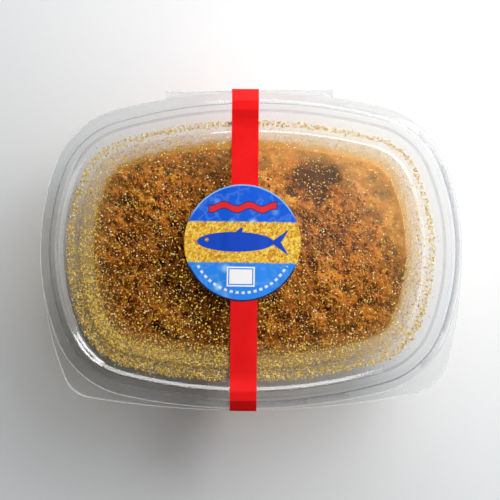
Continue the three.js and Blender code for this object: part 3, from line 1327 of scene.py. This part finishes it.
    def lid_roe(self, x: np.ndarray, y: np.ndarray) -> dict[str, np.ndarray]:
        """How thick the roe lies under the lid.

        Args:
            x: x of each place on the drawing.
            y: y of each place.

        Returns:
            Dust, haze and smear of each place.
        """
        plan = self.plan
        inset = plan.seal.inset(x, y)
        near, far = plan.towards(x, y, Bearing.GRAINS), plan.towards(x, y, Bearing.HAZE)
        dust = along(inset, self.lid_dust) * (0.05 + 0.8 * near)
        haze = along(inset, self.lid_haze_back) * far + along(inset, self.lid_haze)
        haze += along(inset, self.lid_haze_front) * near**1.3
        return {"dust": dust, "haze": haze, "smear": np.zeros_like(inset)}

    def add_painted_edge_lines(self, piece: bpy.types.Object) -> None:
        """Paints the whitened cut edge, partly a painted highlight, and lines of painted grey shade
        along the tight folds.

        The lid's painted fold shade at the groove lies on the side towards the light and the tub's on
        the other. The tub also has a painted shade line at the seal.

        Args:
            piece: the sheet.
        """
        plan = self.plan
        x, y, z = plan.drawing(vertex_array(piece))
        inset = plan.seal.inset(x, y)
        # side towards the light, which decides where the painted fold shade goes
        lit = np.clip(plan.towards(x, y, Bearing.LIGHT) * 2.0 - 0.5, 0, 1)
        if self.kind is Shell.LID:
            fold = 0.5 * lit * (np.abs(inset - plan.groove + 0.35) < 0.3) * (z > plan.flange - 0.7)
        else:
            at_groove = 0.5 * (1 - lit) * (np.abs(inset - plan.groove - 0.75) < 0.35)
            at_seal = 0.4 * (np.abs(inset + 0.55) < 0.12)
            fold = np.maximum(at_groove, at_seal) * (z > plan.flange - 0.8)
        paint(piece, "fold", fold)
        # whitened cut edge: real frosting of the cut plus a painted highlight
        paint(piece, "frost_and_edge_highlight", 0.4 * self.on_edge(piece))

    @staticmethod
    def on_edge(piece: bpy.types.Object) -> np.ndarray:
        """Finds the vertices of the cut edge.

        Args:
            piece: the sheet, whose first half of vertices is its upper face.

        Returns:
            One number a vertex: 1 on the edge and 0 elsewhere.
        """
        mesh = piece.data
        edge = np.zeros(len(mesh.vertices))
        half = len(mesh.vertices) // 2
        for polygon in mesh.polygons:
            sides = [v < half for v in polygon.vertices]
            if any(sides) and not all(sides):
                edge[list(polygon.vertices)] = 1.0
        return edge

    def dress(self, piece: bpy.types.Object) -> None:
        """Gives the sheet its finish and its place in the frame.

        Args:
            piece: the sheet.
        """
        piece.data.materials.append(ClearPlastic(f"clear_plastic_{self.kind.value}").make())
        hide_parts(self.kind.value)
        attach(piece, "root")


# Roe


@dataclass
class RoeHeap:
    """The heap of grated roe: the solid's own lumps with finer relief on them.

    Attributes:
        plan: the pack's plan.
        solid: the heap's solid, which is copied.
        swell: how far the sides move out to the tub.
        relief: texture, size of lumps and height of each layer of relief.
        powdered: how much powder lies at the far corner, by the distance inside the brim.
        rim_powder: how much lies along the whole brim.
        hollows: x, y, radius and depth of each pit, which painted shade also darkens.
    """

    plan: PackPlan
    solid: bpy.types.Object
    swell: float = 0.32
    relief: tuple[tuple[str, float, float], ...] = (
        ("CLOUDS", 7.0, 2.4), ("VORONOI", 3.4, 1.5), ("CLOUDS", 1.5, 0.7))
    powdered: Table = ((0, 1.0), (3, 0.62), (20, 0))
    rim_powder: Table = ((0, 0.25), (1.5, 0))
    hollows: tuple[tuple[float, float, float, float], ...] = (
        (23.0, 23.0, 6.5, 3.4),
        (27.5, 25.5, 4.0, 2.2),
        (-33.5, -26.5, 2.6, 2.0),
        (16.0, 25.5, 4.5, 1.6),
    )

    def build(self) -> bpy.types.Object:
        """Makes the heap and returns it as a finished piece."""
        piece = add_object("roe_heap", self.solid.data.copy())
        select_only(piece)
        bpy.ops.object.mode_set(mode="EDIT")
        merge_doubles(1e-6)
        bpy.ops.object.mode_set(mode="OBJECT")
        piece.data.materials.clear()
        add_modifier(piece, "SUBSURF", levels=2, render_levels=2)
        self.swell_sides(piece)
        smooth = vertex_array(piece)
        for number, (kind, size, height) in enumerate(self.relief):
            self.roughen(piece, f"roe_relief_{number}", kind, size, height)
        self.keep_inside(piece, smooth)
        select_only(piece)
        bpy.ops.object.shade_smooth()
        piece.data.materials.append(RoeHeapFinish().make())
        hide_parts("bottarga")
        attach(piece, "root")
        return piece

    def swell_sides(self, piece: bpy.types.Object) -> None:
        """Moves the sides and the underside out until they just touch the tub.

        Args:
            piece: the heap.
        """
        places = vertex_array(piece)
        normals = np.empty(places.size)
        piece.data.vertices.foreach_get("normal", normals)
        normals = normals.reshape(-1, 3)
        height = places[:, 2] / MM
        share = np.clip((self.plan.brim + 0.6 - height) / 0.6, 0, 1)[:, None]
        set_vertices(piece, places + normals * share * self.swell * MM)

    @staticmethod
    def roughen(piece: bpy.types.Object, name: str, kind: str, size: float, height: float) -> None:
        """Adds one layer of relief.

        Args:
            piece: the heap.
            name: the texture's name.
            kind: the texture's type.
            size: size of its lumps, in millimetres.
            height: height of its lumps, in millimetres.
        """
        texture = bpy.data.textures.new(name, kind)
        texture.noise_scale = size * MM
        if kind == "CLOUDS":
            texture.noise_depth = 3
        add_modifier(piece, "DISPLACE", texture=texture, texture_coords="OBJECT",
                     strength=height * MM, mid_level=0.5)

    def keep_inside(self, piece: bpy.types.Object, smooth: np.ndarray) -> None:
        """Holds the sides to their smooth places, sinks the hollows and paints depth, shown as painted
        shade, and powder.

        Args:
            piece: the heap.
            smooth: its vertices before the relief, in metres.
        """
        plan = self.plan
        rough = vertex_array(piece)
        x, y, z = plan.drawing(smooth)
        from_brim = plan.seal.inset(x, y) - plan.wall_inset(plan.brim)
        top = np.clip(z - plan.brim + 0.5, 0, 1) * np.clip(from_brim / 1.5, 0, 1)
        powder = plan.towards(x, y, Bearing.POWDER) ** 5 * along(from_brim, self.powdered)
        powder += along(from_brim, self.rim_powder)
        places = smooth + (rough - smooth) * (top * (1 - 0.3 * powder.clip(0, 1)))[:, None]
        # depth grows where the relief and the hollows sink; the finish paints shade by it
        depth = 0.5 + (smooth[:, 2] - places[:, 2]) / MM / 1.6
        for at_x, at_y, radius, drop in self.hollows:
            pit = np.exp(-((x - at_x) ** 2 + (y - at_y) ** 2) / radius**2) * top
            places[:, 2] -= pit * drop * MM
            depth += pit * drop * 0.2
            powder -= pit * 1.2
        set_vertices(piece, places)
        paint(piece, "depth", np.where(top > 0, np.clip(depth, 0, 1), 0.35))
        paint(piece, "powder", np.clip(powder, 0, 1))


class GrainShapes:
    """A few irregular little solids, each with twenty faces."""

    def __init__(self, count: int, seed: int) -> None:
        """Draws the shapes.

        Args:
            count: how many shapes.
            seed: seed of their unevenness.
        """
        deselect_all()
        bpy.ops.mesh.primitive_ico_sphere_add(subdivisions=1, radius=1.0)
        ball = bpy.context.object
        self.faces = np.array([tuple(p.vertices) for p in ball.data.polygons])
        corners = vertex_array(ball)
        bpy.data.objects.remove(ball)
        random = np.random.default_rng(seed)
        stretch = random.uniform((0.8, 0.6, 0.45), (1.25, 1.0, 0.8), (count, 3))
        uneven = random.uniform(0.75, 1.2, (count, len(corners), 1))
        self.shapes = corners[None] * uneven * stretch[:, None]


@dataclass
class GrainField:
    """Loose grains of one kind as one mesh."""

    name: str
    finish: GrainFinish
    slot: str
    size: Point
    seed: int
    shapes: GrainShapes

    def build(self, places: np.ndarray, normals: np.ndarray, stand: float) -> bpy.types.Object:
        """Sets a grain at each place.

        Args:
            places: points on the surface that carries the grains, in metres.
            normals: direction in which each grain stands off that surface.
            stand: how far a grain's middle stands off, as a share of its size.

        Returns:
            The finished piece.
        """
        random = np.random.default_rng(self.seed)
        count = len(places)
        low, high = self.size
        size = (low + (high - low) * random.random(count) ** 1.6) * MM / 2
        shape = self.shapes.shapes[random.integers(0, len(self.shapes.shapes), count)]
        turned = np.einsum("nij,nkj->nki", self.random_turns(random, count), shape)
        middle = places + normals * (size * stand)[:, None]
        vertices = (turned * size[:, None, None] + middle[:, None]).reshape(-1, 3)
        corners = shape.shape[1]
        faces = (self.shapes.faces[None] + corners * np.arange(count)[:, None, None]).reshape(-1, 3)
        mesh = bpy.data.meshes.new(self.name)
        mesh.from_pydata(vertices.tolist(), [], faces.tolist())
        piece = add_object(self.name, mesh)
        paint(piece, "tint", np.repeat(random.random(count), corners))
        mesh.materials.append(self.finish.make())
        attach(piece, "root")
        return piece

    @staticmethod
    def random_turns(random: np.random.Generator, count: int) -> np.ndarray:
        """Draws one random turn for each grain.

        Args:
            random: the source of the draws.
            count: how many turns.

        Returns:
            The turns as a stack of matrices.
        """
        q = random.normal(size=(count, 4))
        w, x, y, z = (q / np.linalg.norm(q, axis=1, keepdims=True)).T
        return np.stack([
            1 - 2 * (y * y + z * z), 2 * (x * y - z * w), 2 * (x * z + y * w),
            2 * (x * y + z * w), 1 - 2 * (x * x + z * z), 2 * (y * z - x * w),
            2 * (x * z - y * w), 2 * (y * z + x * w), 1 - 2 * (x * x + y * y),
        ], axis=1).reshape(-1, 3, 3)


@dataclass
class RoeCrumbs:
    """Loose crumbs over the heap, in three colours."""

    plan: PackPlan
    heap: bpy.types.Object
    kinds: tuple[tuple[str, Colour, Colour, Point, int], ...] = (
        ("dark", (0.15, 0.036, 0.004), (0.32, 0.09, 0.01), (0.7, 1.6), 1800),
        ("amber", (0.38, 0.11, 0.01), (0.78, 0.28, 0.025), (0.5, 1.4), 6400),
        ("gold", (0.7, 0.32, 0.03), (0.95, 0.6, 0.14), (0.35, 0.9), 2200),
    )
    powdered: Table = ((10, 1), (13, 0.9), (32, 0))

    def build(self) -> list[bpy.types.Object]:
        """Makes the crumbs and returns one piece a colour."""
        surface = tree_of(self.heap)
        shapes = GrainShapes(12, seed=7)
        pieces = []
        for number, (kind, dark, light, size, count) in enumerate(self.kinds):
            places, normals = self.scatter(surface, count, seed=20 + number)
            kept = self.uncovered(places, seed=30 + number)
            places, normals = places[kept], normals[kept]
            finish = GrainFinish(f"roe_crumb_{kind}", dark, light)
            crumbs = GrainField(f"roe_crumbs_{kind}", finish, "grated_roe", size, 40 + number, shapes)
            pieces.append(crumbs.build(places, normals, stand=0.2))
        return pieces

    def uncovered(self, places: np.ndarray, seed: int) -> np.ndarray:
        """Thins the crumbs out where powder covers the heap.

        Args:
            places: the crumbs' places, in metres.
            seed: seed of the draw.

        Returns:
            Which crumbs are kept.
        """
        x, y, _ = self.plan.drawing(places)
        inset = self.plan.seal.inset(x, y)
        powder = self.plan.towards(x, y, Bearing.POWDER) ** 3 * along(inset, self.powdered)
        return np.random.default_rng(seed).random(len(places)) > powder * 2.0

    def scatter(self, surface: BVHTree, count: int, seed: int) -> tuple[np.ndarray, np.ndarray]:
        """Draws places on the heap's top.

        Args:
            surface: the heap.
            count: how many places.
            seed: seed of the draw.

        Returns:
            The places and the surface's direction at each, in metres.
        """
        random = np.random.default_rng(seed)
        brim = self.plan.wall_inset(self.plan.brim)
        places, normals = [], []
        while len(places) < count:
            x = random.uniform(-1, 1) * self.plan.seal.half_width
            y = random.uniform(-1, 1) * self.plan.seal.half_depth
            if self.plan.seal.inset(np.array(x), np.array(y)) < brim + 0.3:
                continue
            hit, normal, _, _ = surface.ray_cast(self.plan.metres(x, y, 60), Vector((0, 0, -1)))
            if hit is not None:
                places.append(tuple(hit))
                normals.append(tuple(normal))
        return np.array(places), np.array(normals)


@dataclass
class LidGrains:
    """Grains that cling to the lid's inside and lie on the ledge, densest at the front left."""

    plan: PackPlan
    lid: bpy.types.Object
    tub: bpy.types.Object
    kinds: tuple[tuple[str, Colour, Colour, Point, float], ...] = (
        ("gold", (0.66, 0.38, 0.02), (0.9, 0.62, 0.07), (0.35, 0.74), 1.0),
        ("amber", (0.5, 0.28, 0.02), (0.76, 0.46, 0.04), (0.35, 0.72), 0.4),
        ("pale", (1.0, 0.84, 0.42), (1.0, 0.96, 0.7), (0.45, 0.8), 0.4),
    )
    tries: int = 56000
    film: Table = ((2.6, 0), (4.6, 0.06), (6.2, 0.08), (7.8, 0.2), (9.5, 0.2), (13, 0.18), (16, 0))
    sprinkle: Table = ((2.6, 0), (3.4, 0.02), (10, 0.09))
    chain_inset: float = 3.65

    def build(self) -> list[bpy.types.Object]:
        """Makes the grains and returns one piece a colour."""
        lid, tub = tree_of(self.lid), tree_of(self.tub)
        shapes = GrainShapes(12, seed=11)
        pieces = []
        for number, (kind, dark, light, size, share) in enumerate(self.kinds):
            places, normals = self.scatter(lid, tub, share, seed=60 + number)
            finish = GrainFinish(f"lid_grain_{kind}", dark, light, 0.35)
            grains = GrainField(f"lid_grains_{kind}", finish, "grated_roe", size, 80 + number, shapes)
            pieces.append(grains.build(places, normals, stand=0.75))
        return pieces

    def density(self, x: np.ndarray, y: np.ndarray) -> np.ndarray:
        """How likely a grain is: beaded along the seal, in a film at the front left, and sprinkled.

        Args:
            x: x of each place on the drawing.
            y: y of each place.

        Returns:
            One number a place, from 0.
        """
        inset = self.plan.seal.inset(x, y)
        near = self.plan.towards(x, y, Bearing.GRAINS)
        wander_x, wander_y = 2.0 * np.sin(y * 0.7), 1.5 * np.sin(x * 0.8)
        beads = 0.5 + 0.5 * np.sin(x * 1.9 + wander_x) * np.sin(y * 2.1 + wander_y)
        reach = 0.72 + 0.35 * near
        chain = np.clip(1.6 - np.abs(inset - self.chain_inset) / reach, 0, 1) * (0.35 + 1.5 * beads**2)
        film = along(inset, self.film) * (0.03 + 0.9 * near**1.3)
        return chain * (1.1 + 0.3 * near) + film + along(inset, self.sprinkle)

    def scatter(self, lid: BVHTree, tub: BVHTree, share: float,
                seed: int) -> tuple[np.ndarray, np.ndarray]:
        """Draws places on the lid's inside and the ledge.

        Args:
            lid: the lid's surface.
            tub: the tub's surface.
            share: how many of the draws this kind takes.
            seed: seed of the draw.

        Returns:
            The places and the surface's direction at each, in metres.
        """
        random = np.random.default_rng(seed)
        half_width, half_depth = self.plan.seal.half_width, self.plan.seal.half_depth
        x = random.uniform(-half_width, half_width, int(self.tries * share))
        y = random.uniform(-half_depth, half_depth, x.size)
        inset = self.plan.seal.inset(x, y)
        kept = random.random(x.size) < self.density(x, y)
        on_ledge = (random.random(x.size) < 0.5) & (inset > 5.0) & (inset < 7.6)
        places, normals = [], []
        level = self.plan.flange - 4.6
        for x_at, y_at, ledge in zip(x[kept], y[kept], on_ledge[kept]):
            start = self.plan.metres(x_at, y_at, level)
            way = Vector((0, 0, -1 if ledge else 1))
            hit, normal, _, _ = (tub if ledge else lid).ray_cast(start, way)
            if hit is not None:
                places.append(tuple(hit))
                normals.append(tuple(normal if normal.dot(way) < 0 else -normal))
        return np.array(places), np.array(normals)


# Tape and label


@dataclass
class SealTape:
    """The tape from wall to wall over the lid, taut over the seal ridge and folded at the rim."""

    plan: PackPlan
    thickness: float = 0.12
    lift: float = 0.12
    wall_top: float = 23.0
    wall_end: float = 9.2
    across: int = 8

    def half_path(self, reach: float, rim_height: float) -> list[Place]:
        """Corners of one half, from the lid's top down to the wall.

        Args:
            reach: distance of the rim from the middle.
            rim_height: height of the tape's fold at the rim.

        Returns:
            Distance from the middle, height and radius of each corner.
        """
        plan = self.plan
        edge = plan.seal.half_depth
        wall = [(edge - self.wall_outside(h), h) for h in (self.wall_top, self.wall_end)]
        return [
            (edge - 12.0, plan.flange + plan.panel + self.lift, 0.0),
            (edge - 3.4, plan.flange + plan.panel + self.lift + 0.1, 14.0),
            (edge + 0.9, plan.flange + 0.8 + self.lift, 3.0),
            (edge - plan.groove - 0.2, plan.flange + 0.8 + self.lift, 1.2),
            (reach + 0.12, rim_height, 0.5),
            (reach + 0.12, plan.flange - 2.0, 0.6),
            (*wall[0], 2.0),
            (*wall[1], 0.0),
        ]

    def wall_outside(self, height: float) -> float:
        """Inset of the tape's lower face where it is stuck to the tub's wall."""
        sheet = self.plan.sheet * math.hypot(1, self.plan.wall_slope)
        return self.plan.wall_inset(height) - sheet - 0.12

    def path(self) -> list[Point]:
        """The whole path as (y, height), from the back wall to the front wall."""
        back = self.half_path(self.plan.hinge_reach, self.plan.flange - 0.35)
        front = self.half_path(self.plan.left_ear.half_depth, self.plan.flange - 0.9)
        return rounded([*reversed(back), *((-y, z, radius) for y, z, radius in front)], steps=8)

    def build(self) -> bpy.types.Object:
        """Makes the tape and returns it as a finished piece."""
        plan = self.plan
        path = self.path()
        deselect_all()
        steps = len(path) - 1
        bpy.ops.mesh.primitive_grid_add(x_subdivisions=self.across, y_subdivisions=steps, size=2.0)
        piece = bpy.context.object
        piece.name = piece.data.name = "red_seal_tape"
        grid = vertex_array(piece)
        step = np.rint((grid[:, 1] + 1) / 2 * steps).astype(int)
        line = np.array(path)[::-1][step]
        x = plan.tape_x + grid[:, 0] * plan.tape_width / 2
        y, z = line[:, 0], line[:, 1]
        cos, sin = math.cos(plan.tape_lean), math.sin(plan.tape_lean)
        from_middle = x - plan.tape_x
        places = np.column_stack([
            plan.tape_x + from_middle * cos - y * sin,
            from_middle * sin + y * cos + plan.shift,
            z + 0.03 * np.cos(grid[:, 0] * 2.0 + y * 0.21),
        ])
        set_vertices(piece, places * MM)
        face_upwards(piece)
        add_modifier(piece, "SOLIDIFY", thickness=self.thickness * MM, offset=1.0)
        shade_by_angle(piece, 50)
        piece.data.materials.append(TapeFinish().make())
        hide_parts("seal_tape")
        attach(piece, "root")
        return piece


@dataclass
class RoundLabel:
    """The round label on the lid, which rises over the tape beneath it."""

    plan: PackPlan
    thickness: float = 0.1
    rings: int = 40
    turns: int = 144
    tape_rise: float = 0.24

    def height(self, x: float, y: float) -> float:
        """Height of the label's lower face over a place, with a smooth rise over the tape.

        Args:
            x: the place's x on the drawing.
            y: its y.

        Returns:
            The height above the foot.
        """
        plan = self.plan
        over = abs((x - plan.tape_x) + y * math.sin(plan.tape_lean)) - plan.tape_width / 2
        rise = 1 - min(max((over - 0.1) / 4.0, 0.0), 1.0)
        smooth = rise * rise * (3 - 2 * rise)
        return plan.flange + plan.panel + 0.07 + self.tape_rise * smooth

    def build(self) -> bpy.types.Object:
        """Makes the label and returns it as a finished piece."""
        plan = self.plan
        middle_x, middle_y = plan.label_centre

        def station(share: float) -> Callable[[float], Vector]:
            """The ring at a share of the label's radius."""

            def spot(angle: float) -> Vector:
                """The ring's point in a direction."""
                x = middle_x + plan.label_radius * share * math.cos(angle)
                y = middle_y + plan.label_radius * share * math.sin(angle)
                return plan.metres(x, y, self.height(x, y))

            return spot

        angles = list(np.linspace(0, 2 * math.pi, self.turns, endpoint=False))
        loft = RingLoft("round_label", angles)
        loft.run([station(1 - ring / self.rings) for ring in range(self.rings)])
        loft.close()
        piece = loft.finish()
        add_modifier(piece, "SOLIDIFY", thickness=self.thickness * MM, offset=1.0)
        shade_by_angle(piece, 40)
        piece.data.materials.append(LabelFinish(plan).make())
        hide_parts("label")
        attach(piece, "root")
        return piece


# Studio


@dataclass(frozen=True)
class Softbox:
    """A square lamp that looks at a point of the pack."""

    name: str
    place: Place
    target: Place
    width: float
    height: float
    power: float
    colour: Colour = (1.0, 1.0, 1.0)

    def build(self) -> None:
        """Adds the lamp."""
        lamp = bpy.data.lights.new(self.name, "AREA")
        lamp.shape = "RECTANGLE"
        lamp.size, lamp.size_y = self.width, self.height
        lamp.energy = self.power
        lamp.color = self.colour
        holder = add_object(self.name, lamp)
        holder.location = self.place
        way = Vector(self.target) - Vector(self.place)
        holder.rotation_euler = way.to_track_quat("-Z", "Y").to_euler()


@dataclass
class Studio:
    """Pale floor, soft light from the upper right and the camera straight above."""

    plan: PackPlan
    distance: float = 0.6
    lens: float = 126.2
    roll: float = math.radians(-0.65)
    aim: Point = (-0.34, 0.2)
    ambient: float = 0.05
    sheen: float = 0.4
    sheen_way: Point = (0.06, 0.035)
    sheen_spread: Point = (0.07, 0.055)
    floor_size: float = 6.0
    lamps: tuple[Softbox, ...] = (
        Softbox("window", (0.276, 0.257, 0.35), (0, 0, 0.03), 0.27, 0.18, 1.7),
        Softbox("right_lamp", (0.403, 0.071, 0.398), (0, 0, 0.03), 0.6, 0.6, 2.1),
        Softbox("back_lamp", (0.132, 0.493, 0.236), (0, 0, 0.03), 0.4, 0.3, 2.2),
    )

    def build(self) -> None:
        """Adds the floor, the lamps, the sky and the camera."""
        self.add_floor()
        self.add_sky()
        for lamp in self.lamps:
            lamp.build()
        self.add_camera()

    def add_floor(self) -> None:
        """A wide floor, level with the foot."""
        deselect_all()
        bpy.ops.mesh.primitive_grid_add(x_subdivisions=8, y_subdivisions=8, size=self.floor_size)
        floor = bpy.context.object
        floor.name = "floor"
        floor.data.materials.append(FloorFinish().make())
        floor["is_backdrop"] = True

    def add_sky(self) -> None:
        """A cool light from all sides, dark overhead but for a soft patch that the lid mirrors."""
        sky = Finish("studio_sky", sky=True)
        places = sky.node("ShaderNodeTexCoord").outputs["Generated"]
        way = sky.node("ShaderNodeSeparateXYZ", None, [places])
        across, along, up = (Signal(sky, output) for output in way.outputs)
        (x, y), (wide, high) = self.sheen_way, self.sheen_spread
        off = ((across / up - x) / wide) ** 2.0 + ((along / up - y) / high) ** 2.0
        patch = off.ramp(1.0, 0.0) * up.ramp(0.0, 0.1)
        around = up.ramp(0.85, 0.4)
        light = sky.node("ShaderNodeBackground", None, {
            "Color": (0.95, 0.975, 1.0), "Strength": patch * self.sheen + around * self.ambient})
        sky.node("ShaderNodeOutputWorld", None, {"Surface": light.outputs[0]})
        bpy.context.scene.world = sky.material

    def add_camera(self) -> None:
        """A long lens straight above the pack, turned as the photograph is."""
        data = bpy.data.cameras.new("overhead")
        data.lens = self.lens
        data.clip_start = 0.01
        camera = add_object("overhead", data)
        x, y = self.aim
        camera.location = (x * MM, (y + self.plan.shift) * MM, self.plan.flange * MM + self.distance)
        camera.rotation_euler = (0, 0, self.roll)
        bpy.context.scene.camera = camera
        bpy.context.scene.view_settings.view_transform = "Standard"


def corners(box: tuple[Vector, Vector]) -> list[list[float]]:
    """A box as plain lists of numbers."""
    return [[float(value) for value in corner] for corner in box]


def main() -> None:
    """Builds the pack around its frame, in order from the inside out."""
    logging.basicConfig(level=logging.INFO, format="%(name)s: %(message)s")
    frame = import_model()
    cad_box = corners(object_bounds())
    plan = PackPlan.from_frame()
    Studio(plan).build()
    heap = RoeHeap(plan, frame["nodes"]["bottarga"]).build()
    crumbs = RoeCrumbs(plan, heap).build()
    tub = ClearShell(plan, Shell.TUB).build()
    lid = ClearShell(plan, Shell.LID).build()
    grains = LidGrains(plan, lid, tub).build()
    tape = SealTape(plan).build()
    label = RoundLabel(plan).build()
    for piece in (heap, *crumbs, tub, lid, *grains, tape, label):
        LOG.info("%s: %d faces", piece.name, len(piece.data.polygons))
    {"cad": cad_box, "visual": corners(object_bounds())}


if __name__ == "__main__":
    main()
